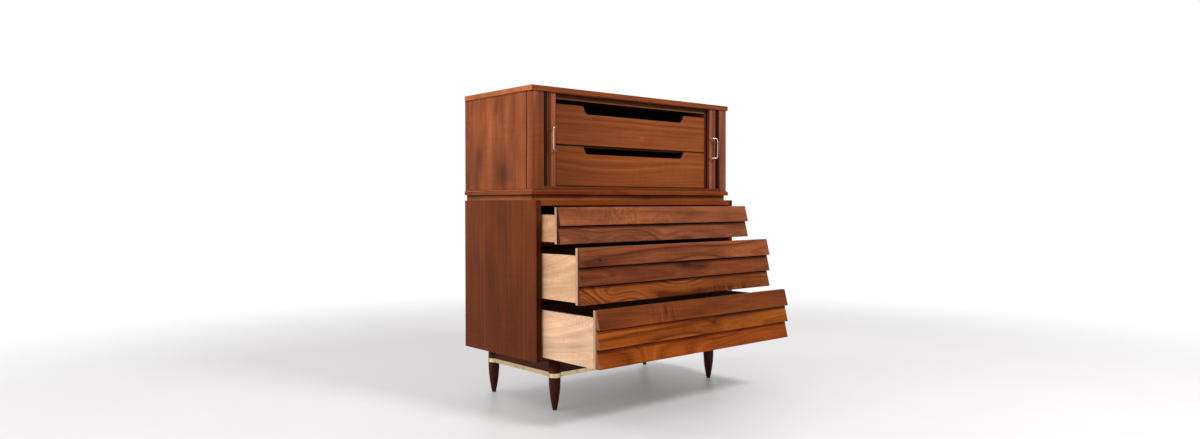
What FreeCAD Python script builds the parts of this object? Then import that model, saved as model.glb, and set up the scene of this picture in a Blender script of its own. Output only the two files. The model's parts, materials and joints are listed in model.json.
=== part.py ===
import FreeCAD
import Part
import math
import os

# Driving sizes in millimetres: the base
leg_height = 121.8
leg_top_radius = 22.0
leg_tip_radius = 9.0
leg_inset_side = 111.4
leg_inset_front = 38.8
leg_inset_back = 34.2
glide_height = 4.0
glide_inset = 0.5
apron_height = 70.7
apron_thickness = 20.0
apron_proud = 9.0
block_length = 80.0
block_drop = 12.0
band_height = 15.5
band_thickness = 1.5
band_rib = 4.6
band_channel_depth = 0.75

# Driving sizes: the lower case
case_width = 1066.8
lower_depth = 469.3
lower_height = 576.4
lower_side_thickness = 22.0
lower_top_thickness = 20.0
lower_bottom_thickness = 15.5
back_thickness = 6.0
rail_thickness = 18.0
rail_depth = 45.0
rail_lap = 6.5
rail_clearance = 1.5
dust_thickness = 12.0
guide_width = 28.0
guide_height = 8.0

# Driving sizes: the louvred drawers
draw_top = 107.4
draw_middle = 221.3
draw_low = 313.0
top_slat_count = 2
middle_slat_count = 3
low_slat_count = 3
front_gap = 8.4
front_gap_top = 5.0
front_gap_bottom = 2.2
front_side_clearance = 2.0
core_thickness = 10.5
slat_top_thickness = 6.0
slat_lip = 22.0
slat_land = 3.0
wall_inset = 5.0
wall_thickness = 12.5
wall_drop = 27.0
wall_back_space = 15.0
box_front_thickness = 11.0
bottom_rise = 10.0
bottom_thickness = 5.0
strip_width = 12.0
strip_lift = 2.0
strip_clearance = 0.5

# Driving sizes: the waist
reveal_height = 20.7
reveal_inset_side = 9.2
reveal_depth = 430.0
reveal_rail = 60.0
moulding_thickness = 19.3
moulding_overhang = 1.4
moulding_depth = 445.2
moulding_round = 7.0

# Driving sizes: the upper case
upper_inset_side = 2.1
upper_depth = 443.5
upper_height = 352.4
upper_side_thickness = 19.0
post_width = 53.0
post_depth = 34.0
post_round = 15.0
post_quirk = 2.4
cove_clearance = 2.0
top_thickness = 18.8
top_overhang = 1.7
floor_thickness = 10.0
floor_setback = 2.0
pocket_width = 92.8
liner_thickness = 8.0
liner_front = 420.5
liner_top_drop = 15.6
liner_top_thickness = 5.0
head_rail_depth = 20.0
divider_thickness = 6.0
divider_clearance = 1.5

# Driving sizes: the tambour doors
door_setback = 6.5
door_open_clear = 8.5
stile_width = 21.0
stile_thickness = 13.0
stile_clearance = 0.5
track_run = 19.4
track_radius = 32.0
track_back_space = 22.0
tambour_thickness = 9.0
tambour_pitch = 9.7
tambour_gap = 0.8
tambour_bevel = 1.9
tambour_count = 44
canvas_thickness = 0.8
groove_clearance = 0.6
groove_depth = 4.0
tongue_length = 3.0

# Driving sizes: the bow handles
handle_height = 183.0
handle_rod_radius = 2.8
handle_arm_half = 42.0
handle_elbow_forward = 12.0
handle_forward = 23.0
handle_foot_in = 5.0
handle_bar_out = 27.5
handle_elbow_bend = 5.0
handle_bend = 8.0
handle_boss_radius = 4.4
handle_boss_height = 3.0
screw_radius = 2.0
screw_head_radius = 3.6
screw_head_height = 2.0

# Driving sizes: the inner drawers
inner_front_thickness = 16.0
inner_side_clearance = 6.0
inner_front_depth = 421.5
inner_top_gap = 17.3
inner_gap = 2.0
inner_lower_lift = 2.2
inner_lower_height = 151.4
pull_margin = 130.5
pull_slant = 13.0
pull_depth = 30.0
pull_round = 20.0
inner_wall_thickness = 10.0
inner_wall_inset = 3.5
inner_wall_below_pull = 2.0
inner_back_space = 55.0
inner_sheet_rise = 4.0

# Levels and half widths that follow from the driving sizes
half_width = case_width / 2
lower_z0 = leg_height + apron_height
lower_z1 = lower_z0 + lower_height
moulding_z0 = lower_z1 + reveal_height
upper_z0 = moulding_z0 + moulding_thickness
upper_z1 = upper_z0 + upper_height
inside_half = half_width - lower_side_thickness
upper_half = half_width - upper_inset_side
upper_inside_half = upper_half - upper_side_thickness
liner_out = upper_inside_half - pocket_width
liner_half_gap = liner_out - liner_thickness
door_open_half = liner_half_gap + door_open_clear
inner_half_width = liner_half_gap - inner_side_clearance
floor_z = upper_z0 + floor_thickness
leg_x = half_width - leg_inset_side
leg_front_y = leg_inset_front - lower_depth
leg_back_y = -leg_inset_back
door_face_y = door_setback - upper_depth
curtain_x = door_open_half + stile_width
arc_x = curtain_x + track_run
arc_y = door_face_y + track_radius

inner_lower_z0 = floor_z + inner_lower_lift
inner_lower_z1 = inner_lower_z0 + inner_lower_height
divider_z1 = inner_lower_z1 + inner_gap
liner_z1 = upper_z1 - liner_top_drop
liner_top_z0 = liner_z1 - liner_top_thickness
inner_upper_z1 = liner_top_z0 - inner_top_gap

# The part's origin is under the middle of its box, so every shape is moved forward to it
front_reach = lower_depth + max(draw_top, draw_middle, draw_low)
origin_shift = FreeCAD.Vector(0, front_reach / 2, 0)

os.makedirs("parts", exist_ok=True)


def board(x0, x1, y0, y1, z0, z1):
    return Part.makeBox(x1 - x0, y1 - y0, z1 - z0, FreeCAD.Vector(x0, y0, z0))


def prism(points, vector):
    wire = Part.makePolygon([FreeCAD.Vector(*p) for p in points + points[:1]])
    return Part.Face(wire).extrude(FreeCAD.Vector(*vector))


def drum(radius, x, y, z0, z1):
    return Part.makeCylinder(radius, z1 - z0, FreeCAD.Vector(x, y, z0))


def mirrored(shape):
    return shape.mirror(FreeCAD.Vector(0, 0, 0), FreeCAD.Vector(1, 0, 0))


def export(name, solids):
    placed = []
    for solid in solids:
        copy = solid.copy()
        copy.translate(origin_shift)
        placed.extend(copy.Solids)
    shape = placed[0] if len(placed) == 1 else Part.makeCompound(placed)
    shape.exportStep("parts/" + name + ".step")


# Turned legs: a straight drum behind the apron, then a bulged taper down to the glide
leg_places = {
    "leg_front_left": (-leg_x, leg_front_y),
    "leg_front_right": (leg_x, leg_front_y),
    "leg_back_left": (-leg_x, leg_back_y),
    "leg_back_right": (leg_x, leg_back_y),
}
taper = []
for step in range(9):
    t = step / 8
    height = glide_height + (leg_height - glide_height) * t
    radius = leg_tip_radius + (leg_top_radius - leg_tip_radius) * (1 - (1 - t) ** 2)
    taper.append(FreeCAD.Vector(radius, 0, height))
curve = Part.BSplineCurve()
curve.interpolate(taper)
outline = [
    Part.LineSegment(FreeCAD.Vector(0, 0, glide_height), taper[0]).toShape(),
    curve.toShape(),
    Part.LineSegment(taper[-1], FreeCAD.Vector(leg_top_radius, 0, lower_z0)).toShape(),
    Part.LineSegment(FreeCAD.Vector(leg_top_radius, 0, lower_z0), FreeCAD.Vector(0, 0, lower_z0)).toShape(),
    Part.LineSegment(FreeCAD.Vector(0, 0, lower_z0), FreeCAD.Vector(0, 0, glide_height)).toShape(),
]
leg = Part.Face(Part.Wire(outline)).revolve(FreeCAD.Vector(0, 0, 0), FreeCAD.Vector(0, 0, 1), 360)
glides = []
drums = []
for name, (x, y) in leg_places.items():
    placed_leg = leg.copy()
    placed_leg.translate(FreeCAD.Vector(x, y, 0))
    export(name, [placed_leg])
    glides.append(drum(leg_tip_radius - glide_inset, x, y, 0, glide_height))
    drums.append(drum(leg_top_radius, x, y, leg_height, lower_z0))
export("leg_glides", glides)

# Apron rails, each cut to the round of the leg drums that it meets
apron_x1 = leg_x + apron_proud
apron_x0 = apron_x1 - apron_thickness
apron_front_y = leg_front_y - apron_proud
apron_back_y = leg_back_y + apron_proud
front_rail = board(-leg_x, leg_x, apron_front_y, apron_front_y + apron_thickness, leg_height, lower_z0)
back_rail = board(-leg_x, leg_x, apron_back_y - apron_thickness, apron_back_y, leg_height, lower_z0)
side_rail = board(apron_x0, apron_x1, leg_front_y, leg_back_y, leg_height, lower_z0)
export("apron_front", [front_rail.cut(drums)])
export("apron_back", [back_rail.cut(drums)])
export("apron_sides", [side_rail.cut(drums), mirrored(side_rail).cut(drums)])

# Triangular glue blocks inside the four corners of the apron
blocks = []
block_front_y = apron_front_y + apron_thickness
block_back_y = apron_back_y - apron_thickness
for corner_y, along in ((block_front_y, block_length), (block_back_y, -block_length)):
    corners = [
        (apron_x0, corner_y, leg_height + block_drop),
        (apron_x0, corner_y + along, leg_height + block_drop),
        (apron_x0 - block_length, corner_y, leg_height + block_drop),
    ]
    block = prism(corners, (0, 0, apron_height - block_drop))
    blocks.append(block.cut(drums))
    blocks.append(mirrored(block).cut(drums))
export("corner_blocks", blocks)


# Brass band: one strip round the apron's foot and the leg drums, with a channel along its middle
def apron_outline(grow, z0, z1):
    shape = board(-apron_x1 - grow, apron_x1 + grow, apron_front_y - grow, apron_back_y + grow, z0, z1)
    rounds = [drum(leg_top_radius + grow, x, y, z0, z1) for x, y in leg_places.values()]
    return shape.fuse(rounds)


band_z1 = leg_height + band_height
channel_z0 = leg_height + band_rib
channel_z1 = band_z1 - band_rib
channel_floor = band_thickness - band_channel_depth
band = apron_outline(band_thickness, leg_height, band_z1)
band = band.cut(apron_outline(0, leg_height, band_z1))
channel = apron_outline(band_thickness, channel_z0, channel_z1)
channel = channel.cut(apron_outline(channel_floor, channel_z0, channel_z1))
export("brass_band", [band.cut(channel)])

# Lower case boards
lower_side = board(inside_half, half_width, -lower_depth, 0, lower_z0, lower_z1)
export("lower_side_right", [lower_side])
export("lower_side_left", [mirrored(lower_side)])
opening_z0 = lower_z0 + lower_bottom_thickness
opening_z1 = lower_z1 - lower_top_thickness
export("lower_top", [board(-inside_half, inside_half, -lower_depth, 0, opening_z1, lower_z1)])
export("lower_bottom", [board(-inside_half, inside_half, -lower_depth, 0, lower_z0, opening_z0)])
export("lower_back", [board(-inside_half, inside_half, -back_thickness, 0, opening_z0, opening_z1)])

# Heights of the three louvred fronts, from the top down
slat_total = top_slat_count + middle_slat_count + low_slat_count
fronts_height = opening_z1 - opening_z0 - front_gap_top - front_gap_bottom - 2 * front_gap
slat_pitch = fronts_height / slat_total
top_front_z1 = opening_z1 - front_gap_top
top_front_z0 = top_front_z1 - top_slat_count * slat_pitch
middle_front_z1 = top_front_z0 - front_gap
middle_front_z0 = middle_front_z1 - middle_slat_count * slat_pitch
low_front_z1 = middle_front_z0 - front_gap
low_front_z0 = low_front_z1 - low_slat_count * slat_pitch

# Drawer rails and dust panels stand back behind the closed fronts
closed_core_back_y = -lower_depth + slat_lip + core_thickness
rail_y0 = closed_core_back_y + rail_clearance
rail_y1 = rail_y0 + rail_depth
panels = []
run_levels = []
for name, front_z0 in (("drawer_rail_upper", top_front_z0), ("drawer_rail_lower", middle_front_z0)):
    run_z = front_z0 + rail_lap
    run_levels.append(run_z)
    export(name, [board(-inside_half, inside_half, rail_y0, rail_y1, run_z - rail_thickness, run_z)])
    panels.append(board(-inside_half, inside_half, rail_y1, -back_thickness, run_z - dust_thickness, run_z))
export("dust_panels", panels)
run_levels.append(opening_z0)

# Centre guides, one under each louvred drawer
guide_y1 = -back_thickness - wall_back_space
guides = []
for run_z in run_levels:
    guides.append(board(-guide_width / 2, guide_width / 2, rail_y0, guide_y1, run_z, run_z + guide_height))
export("drawer_guides", guides)

# Louvred drawers, drawn out as far as each stands in the rest pose
front_half = inside_half - front_side_clearance
wall_out = front_half - wall_inset
wall_in = wall_out - wall_thickness
closed_wall_back_y = -back_thickness - wall_back_space
drawers = (
    ("drawer_top", draw_top, top_slat_count, top_front_z0, top_front_z1, run_levels[0]),
    ("drawer_middle", draw_middle, middle_slat_count, middle_front_z0, middle_front_z1, run_levels[1]),
    ("drawer_low", draw_low, low_slat_count, low_front_z0, low_front_z1, run_levels[2]),
)
for name, drawn, slats, z0, z1, run_z in drawers:
    core_back = closed_core_back_y - drawn
    core_front = core_back - core_thickness
    export(name + "_core", [board(-front_half, front_half, core_front, core_back, z0, z1)])
    louvres = []
    for number in range(slats):
        foot = z0 + number * slat_pitch
        profile = [
            (-front_half, core_front, foot),
            (-front_half, core_front, foot + slat_pitch),
            (-front_half, core_front - slat_top_thickness, foot + slat_pitch),
            (-front_half, core_front - slat_lip, foot + slat_land),
            (-front_half, core_front - slat_lip, foot),
        ]
        louvres.append(prism(profile, (2 * front_half, 0, 0)))
    export(name + "_louvres", louvres)
    wall_back = closed_wall_back_y - drawn
    wall_z1 = z1 - wall_drop
    bottom_z0 = run_z + bottom_rise
    bottom_z1 = bottom_z0 + bottom_thickness
    side = board(wall_in, wall_out, core_back, wall_back, run_z, wall_z1)
    back = board(-wall_in, wall_in, wall_back - wall_thickness, wall_back, bottom_z1, wall_z1)
    box_front = board(-wall_in, wall_in, core_back, core_back + box_front_thickness, bottom_z1, wall_z1)
    export(name + "_walls", [side, mirrored(side), back, box_front])
    sheet = board(-wall_in, wall_in, core_back, wall_back, bottom_z0, bottom_z1)
    strip_x0 = guide_width / 2 + strip_clearance
    strip = board(strip_x0, strip_x0 + strip_width, core_back, wall_back, run_z + strip_lift, bottom_z0)
    export(name + "_bottom", [sheet, strip, mirrored(strip)])

# Waist: a recessed frame of four rails under a board with a rounded edge
reveal_half = half_width - reveal_inset_side
reveal_side = board(reveal_half - reveal_rail, reveal_half, -reveal_depth, 0, lower_z1, moulding_z0)
reveal_inner = reveal_half - reveal_rail
reveal_front_y = reveal_rail - reveal_depth
reveal_front = board(-reveal_inner, reveal_inner, -reveal_depth, reveal_front_y, lower_z1, moulding_z0)
reveal_back = board(-reveal_inner, reveal_inner, -reveal_rail, 0, lower_z1, moulding_z0)
export("waist_frame", [reveal_side, mirrored(reveal_side), reveal_front, reveal_back])
moulding_half = half_width + moulding_overhang
moulding = board(-moulding_half, moulding_half, -moulding_depth, 0, moulding_z0, upper_z0)
rounded_edges = []
for edge in moulding.Edges:
    box = edge.BoundBox
    on_top = abs(box.ZMin - upper_z0) < 0.001 and abs(box.ZMax - upper_z0) < 0.001
    at_back = abs(box.YMin) < 0.001
    if on_top and not at_back:
        rounded_edges.append(edge)
export("waist_moulding", [moulding.makeFillet(moulding_round, rounded_edges)])


# Groove of the tambour doors: straight across the front, round both corners and back along the sides
def track_region(inward, z0, z1):
    half = arc_x + track_radius - inward
    front = door_face_y + inward
    shape = board(-half, half, front, -back_thickness - track_back_space, z0, z1)
    corners = []
    for edge in shape.Edges:
        box = edge.BoundBox
        upright = box.ZLength > (z1 - z0) / 2 and box.XLength < 0.001
        if upright and abs(box.YMin - front) < 0.001:
            corners.append(edge)
    return shape.makeFillet(track_radius - inward, corners)


def groove(z0, z1):
    outer = track_region(-groove_clearance, z0, z1)
    return outer.cut(track_region(tambour_thickness + canvas_thickness + groove_clearance, z0, z1))


# Upper case: sides, and corner posts coved behind to let the curtain turn the corner
quirk_y = post_depth - upper_depth
upper_side = prism(
    [
        (upper_inside_half, quirk_y, upper_z0),
        (upper_half - post_quirk, quirk_y, upper_z0),
        (upper_half, quirk_y + post_quirk, upper_z0),
        (upper_half, 0, upper_z0),
        (upper_inside_half, 0, upper_z0),
    ],
    (0, 0, upper_height),
)
export("upper_side_right", [upper_side])
export("upper_side_left", [mirrored(upper_side)])
post = board(upper_half - post_width, upper_half, -upper_depth, quirk_y, upper_z0, upper_z1)
round_edge = []
quirk_edge = []
for edge in post.Edges:
    box = edge.BoundBox
    upright = box.ZLength > upper_height / 2
    if upright and abs(box.XMin - upper_half) < 0.001:
        if abs(box.YMin + upper_depth) < 0.001:
            round_edge.append(edge)
post = post.makeFillet(post_round, round_edge)
for edge in post.Edges:
    box = edge.BoundBox
    upright = box.ZLength > upper_height / 2
    if upright and abs(box.XMin - upper_half) < 0.001 and abs(box.YMin - quirk_y) < 0.001:
        quirk_edge.append(edge)
post = post.makeChamfer(post_quirk, quirk_edge)
post = post.cut(drum(track_radius + cove_clearance, arc_x, arc_y, upper_z0, upper_z1))
export("corner_post_right", [post])
export("corner_post_left", [mirrored(post)])

# Floor of the upper case, grooved, reaching forward between the posts
floor_half = upper_half - post_width
upper_floor = board(-upper_inside_half, upper_inside_half, quirk_y, -back_thickness, upper_z0, floor_z)
floor_front = board(-floor_half, floor_half, floor_setback - upper_depth, quirk_y, upper_z0, floor_z)
upper_floor = upper_floor.fuse(floor_front).removeSplitter()
export("upper_bottom", [upper_floor.cut(groove(floor_z - groove_depth, floor_z))])
export("upper_back", [board(-upper_inside_half, upper_inside_half, -back_thickness, 0, upper_z0, upper_z1)])

# Top board with the upper groove
top_half = upper_half + top_overhang
top_z1 = upper_z1 + top_thickness
top = board(-top_half, top_half, -upper_depth - top_overhang, 0, upper_z1, top_z1)
export("top_board", [top.cut(groove(upper_z1, upper_z1 + groove_depth))])

# Inner case: two liners, a thin top, the head rail on it and the divider between the inner drawers
liner = board(liner_half_gap, liner_out, -liner_front, -back_thickness, floor_z, liner_z1)
export("liner_right", [liner])
export("liner_left", [mirrored(liner)])
lid = board(-liner_half_gap, liner_half_gap, -liner_front, -back_thickness, liner_top_z0, liner_z1)
export("liner_top", [lid])
head_y1 = head_rail_depth - liner_front
export("head_rail", [board(-liner_out, liner_out, -liner_front, head_y1, liner_z1, upper_z1)])
inner_back_y = -inner_front_depth + inner_front_thickness
divider = board(
    -liner_half_gap,
    liner_half_gap,
    inner_back_y + divider_clearance,
    -back_thickness,
    divider_z1 - divider_thickness,
    divider_z1,
)
export("inner_divider", [divider])

# Tambour curtains: slats on canvas, round the corner and back into the pocket beside the liner
slat_z0 = floor_z - tongue_length
slat_z1 = upper_z1 + tongue_length
slat_back = (tambour_pitch - tambour_gap) / 2
slat_front = slat_back - tambour_bevel
bend_radius = track_radius - tambour_thickness
arc_length = math.pi / 2 * bend_radius
strips = []
canvas_line = []
for number in range(tambour_count):
    along = (number + 0.5) * tambour_pitch - track_run
    turn = min(max(along, 0), arc_length) / bend_radius
    middle_x = arc_x + bend_radius * math.sin(turn) + min(along, 0)
    middle_y = arc_y - bend_radius * math.cos(turn) + max(along - arc_length, 0)
    run = (math.cos(turn), math.sin(turn))
    out = (math.sin(turn), -math.cos(turn))
    shape_points = [
        (-slat_back, 0),
        (-slat_back, tambour_thickness - tambour_bevel),
        (-slat_front, tambour_thickness),
        (slat_front, tambour_thickness),
        (slat_back, tambour_thickness - tambour_bevel),
        (slat_back, 0),
    ]
    corners = []
    for a, b in shape_points:
        corners.append((middle_x + run[0] * a + out[0] * b, middle_y + run[1] * a + out[1] * b, slat_z0))
    strips.append(prism(corners, (0, 0, slat_z1 - slat_z0)))
    for a in (-slat_back, slat_back):
        canvas_line.append((middle_x + run[0] * a, middle_y + run[1] * a, out))
outer_side = [(x, y, slat_z0) for x, y, out in canvas_line]
inner_side = []
for x, y, out in canvas_line:
    inner_side.append((x - out[0] * canvas_thickness, y - out[1] * canvas_thickness, slat_z0))
canvas = prism(outer_side + inner_side[::-1], (0, 0, slat_z1 - slat_z0))
strips.append(canvas)
export("curtain_right", strips)
export("curtain_left", [mirrored(strip) for strip in strips])

# Lead stiles with tongues in both grooves and two screw holes for the handle
stile_x0 = door_open_half
stile_x1 = curtain_x - tambour_gap
stile_y1 = door_face_y + stile_thickness
stile_z0 = floor_z + stile_clearance
stile_z1 = upper_z1 - stile_clearance
stile = board(stile_x0, stile_x1, door_face_y, stile_y1, stile_z0, stile_z1)
tongue = board(stile_x0, stile_x1, door_face_y, door_face_y + tambour_thickness, slat_z0, slat_z1)
stile = stile.fuse(tongue).removeSplitter()
handle_z = upper_z0 + handle_height
foot_x = stile_x0 + handle_foot_in
screws = []
for side_z in (-1, 1):
    foot_z = handle_z + side_z * handle_arm_half
    shank = Part.makeCylinder(
        screw_radius, stile_thickness, FreeCAD.Vector(foot_x, door_face_y, foot_z), FreeCAD.Vector(0, 1, 0)
    )
    head = Part.makeCylinder(
        screw_head_radius, screw_head_height, FreeCAD.Vector(foot_x, stile_y1 - screw_head_height, foot_z),
        FreeCAD.Vector(0, 1, 0)
    )
    screws.append(shank.fuse(head).removeSplitter())
bored_stile = stile.cut(screws)
export("stile_right", [bored_stile])
export("stile_left", [mirrored(bored_stile)])
export("handle_screws_right", screws)
export("handle_screws_left", [mirrored(screw) for screw in screws])

# Bow handles: a bent rod with short stems near the leading edge and level arms that lean outward to its bar
bar_x = stile_x0 + handle_bar_out
bar_y = door_face_y - handle_forward
boss_y = door_face_y - handle_boss_height
elbow_y = door_face_y - handle_elbow_forward
arm_low_z = handle_z - handle_arm_half
arm_high_z = handle_z + handle_arm_half
knots = [
    FreeCAD.Vector(foot_x, boss_y, arm_low_z),
    FreeCAD.Vector(foot_x, elbow_y, arm_low_z),
    FreeCAD.Vector(bar_x, bar_y, arm_low_z),
    FreeCAD.Vector(bar_x, bar_y, arm_high_z),
    FreeCAD.Vector(foot_x, elbow_y, arm_high_z),
    FreeCAD.Vector(foot_x, boss_y, arm_high_z),
]
bend_lengths = [handle_elbow_bend, handle_bend, handle_bend, handle_elbow_bend]
path = []
reached = knots[0]
for before, at, after, bend_length in zip(knots, knots[1:], knots[2:], bend_lengths):
    back_way = (before - at).normalize()
    on_way = (after - at).normalize()
    middle_way = (back_way + on_way).normalize()
    half_angle = back_way.getAngle(on_way) / 2
    start = at + back_way * bend_length
    end = at + on_way * bend_length
    rod_bend = bend_length * math.tan(half_angle)
    centre = at + middle_way * (bend_length / math.cos(half_angle))
    path.append(Part.LineSegment(reached, start).toShape())
    path.append(Part.Arc(start, centre - middle_way * rod_bend, end).toShape())
    reached = end
path.append(Part.LineSegment(reached, knots[-1]).toShape())
start_way = (knots[1] - knots[0]).normalize()
ring = Part.Wire(Part.makeCircle(handle_rod_radius, knots[0], start_way))
handle = Part.Wire(path).makePipeShell([ring], True, True)
bosses = []
for side_z in (-1, 1):
    foot = FreeCAD.Vector(foot_x, boss_y, handle_z + side_z * handle_arm_half)
    bosses.append(Part.makeCylinder(handle_boss_radius, handle_boss_height, foot, FreeCAD.Vector(0, 1, 0)))
handle = handle.fuse(bosses).removeSplitter().cut(stile)
export("handle_right", [handle])
export("handle_left", [mirrored(handle)])

# Inner drawers: fronts with a rounded cut-out along the top edge as the pull
inner_wall_out = inner_half_width - inner_wall_inset
inner_wall_in = inner_wall_out - inner_wall_thickness
inner_wall_back = -back_thickness - inner_back_space
pull_half_top = inner_half_width - pull_margin
pull_half_bottom = pull_half_top - pull_slant
inner_drawers = (
    ("inner_upper", divider_z1, inner_upper_z1, divider_z1),
    ("inner_lower", inner_lower_z0, inner_lower_z1, floor_z),
)
for name, z0, z1, run_z in inner_drawers:
    front = board(-inner_half_width, inner_half_width, -inner_front_depth, inner_back_y, z0, z1)
    mouth = prism(
        [
            (-pull_half_top, -inner_front_depth, z1),
            (pull_half_top, -inner_front_depth, z1),
            (pull_half_bottom, -inner_front_depth, z1 - pull_depth),
            (-pull_half_bottom, -inner_front_depth, z1 - pull_depth),
        ],
        (0, inner_front_thickness, 0),
    )
    low_edges = []
    for edge in mouth.Edges:
        box = edge.BoundBox
        if box.YLength > inner_front_thickness / 2 and abs(box.ZMin - z1 + pull_depth) < 0.001:
            low_edges.append(edge)
    export(name + "_front", [front.cut(mouth.makeFillet(pull_round, low_edges))])
    wall_z1 = z1 - pull_depth - inner_wall_below_pull
    side = board(inner_wall_in, inner_wall_out, inner_back_y, inner_wall_back, run_z, wall_z1)
    sheet_z0 = run_z + inner_sheet_rise
    sheet_z1 = sheet_z0 + bottom_thickness
    back_y0 = inner_wall_back - inner_wall_thickness
    back = board(-inner_wall_in, inner_wall_in, back_y0, inner_wall_back, sheet_z1, wall_z1)
    export(name + "_walls", [side, mirrored(side), back])
    sheet = board(-inner_wall_in, inner_wall_in, inner_back_y, inner_wall_back, sheet_z0, sheet_z1)
    export(name + "_bottom", [sheet])
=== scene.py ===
import json
import math
import bmesh
import bpy
from mathutils import Matrix, Vector

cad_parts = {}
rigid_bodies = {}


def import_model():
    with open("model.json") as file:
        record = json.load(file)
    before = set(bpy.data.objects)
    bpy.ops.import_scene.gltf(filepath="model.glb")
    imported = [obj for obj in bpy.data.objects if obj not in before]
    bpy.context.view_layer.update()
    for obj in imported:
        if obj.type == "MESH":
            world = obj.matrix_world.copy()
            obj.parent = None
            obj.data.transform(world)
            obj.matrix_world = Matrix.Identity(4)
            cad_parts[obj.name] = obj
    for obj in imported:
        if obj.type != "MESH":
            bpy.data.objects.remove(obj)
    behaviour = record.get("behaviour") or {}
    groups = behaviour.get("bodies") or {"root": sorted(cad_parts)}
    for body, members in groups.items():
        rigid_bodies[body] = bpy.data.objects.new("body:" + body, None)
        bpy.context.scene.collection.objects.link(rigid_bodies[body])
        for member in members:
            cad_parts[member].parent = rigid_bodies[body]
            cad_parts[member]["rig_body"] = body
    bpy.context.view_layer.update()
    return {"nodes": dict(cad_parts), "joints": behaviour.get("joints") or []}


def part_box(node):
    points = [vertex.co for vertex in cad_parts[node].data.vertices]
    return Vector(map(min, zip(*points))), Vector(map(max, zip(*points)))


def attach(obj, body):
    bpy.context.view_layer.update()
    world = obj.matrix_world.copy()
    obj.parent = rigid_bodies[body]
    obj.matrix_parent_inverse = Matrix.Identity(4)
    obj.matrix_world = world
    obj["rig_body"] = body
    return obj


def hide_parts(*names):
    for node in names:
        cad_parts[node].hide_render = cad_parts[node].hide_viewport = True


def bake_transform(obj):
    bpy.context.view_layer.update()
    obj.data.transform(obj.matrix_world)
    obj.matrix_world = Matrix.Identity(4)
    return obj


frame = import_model()


# Legs: four posts turned from solid walnut and stained nearly black. Each has a straight drum at its
# head, which the apron is cut round, and a bulged taper down to a small metal glide.
class Shade:
    """A socket of a material: arithmetic on it adds Math nodes, and node() adds any other node."""

    def __init__(self, tree, socket=None):
        self.tree = tree
        self.socket = socket

    def node(self, kind, settings, sockets, output=0):
        made = self.tree.nodes.new("ShaderNode" + kind)
        for setting, value in settings.items():
            setattr(made, setting, value)
        for place, value in sockets.items():
            if isinstance(value, Shade):
                self.tree.links.new(value.socket, made.inputs[place])
            else:
                made.inputs[place].default_value = value
        if output is None:
            return [Shade(self.tree, socket) for socket in made.outputs]
        return Shade(self.tree, made.outputs[output])

    def math(self, operation, *others):
        return self.node("Math", {"operation": operation}, dict(enumerate((self, *others))))

    def __add__(self, other):
        return self.math("ADD", other)

    def __sub__(self, other):
        return self.math("SUBTRACT", other)

    def __rsub__(self, other):
        return self.node("Math", {"operation": "SUBTRACT"}, {0: other, 1: self})

    def __mul__(self, other):
        return self.math("MULTIPLY", other)

    def __truediv__(self, other):
        return self.math("DIVIDE", other)

    def __pow__(self, other):
        return self.math("POWER", other)

    __radd__ = __add__
    __rmul__ = __mul__

    def within(self, low, high):
        """0 below low, 1 above high and a smooth rise between."""
        settings = {"interpolation_type": "SMOOTHSTEP"}
        return self.node("MapRange", settings, {"Value": self, "From Min": low, "From Max": high})

    def blended(self, first, second):
        """The first colour where this is 0 and the second where it is 1."""
        settings = {"data_type": "RGBA"}
        return self.node("Mix", settings, {0: self, 6: first, 7: second}, 2)

    def scaled(self, factor):
        """This colour or vector times a number."""
        return self.node("VectorMath", {"operation": "SCALE"}, {0: self, "Scale": factor})

    def clouds(self, scale, detail=2.0, sharpness=0.5):
        """Noise over this place, with scale waves in a metre."""
        sockets = {"Vector": self, "Scale": scale, "Detail": detail, "Roughness": sharpness}
        return self.node("TexNoise", {}, sockets)

    def toned(self, stops):
        """The colour of this number between stops, each of them a number and a colour."""
        made = self.tree.nodes.new("ShaderNodeValToRGB")
        self.tree.links.new(self.socket, made.inputs[0])
        ramp = made.color_ramp.elements
        while len(ramp) < len(stops):
            ramp.new(1.0)
        for stop, (number, colour) in zip(ramp, stops):
            stop.position = number
            stop.color = (*colour, 1.0)
        return Shade(self.tree, made.outputs[0])


def new_finish(name):
    """A bare finish, the root of its nodes and the place on the piece, in metres."""
    finish = bpy.data.materials.new(name)
    finish.use_nodes = True
    finish.node_tree.nodes.clear()
    root = Shade(finish.node_tree)
    return finish, root, root.node("TexCoord", {}, {}, "Object")


def coat_with(finish, shader):
    """Lays a shader on a finish as its surface."""
    surface = finish.node_tree.nodes.new("ShaderNodeOutputMaterial")
    finish.node_tree.links.new(shader.socket, surface.inputs["Surface"])
    return finish


# A reach so long that a mark covers the whole board.
everywhere = 9.0


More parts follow.
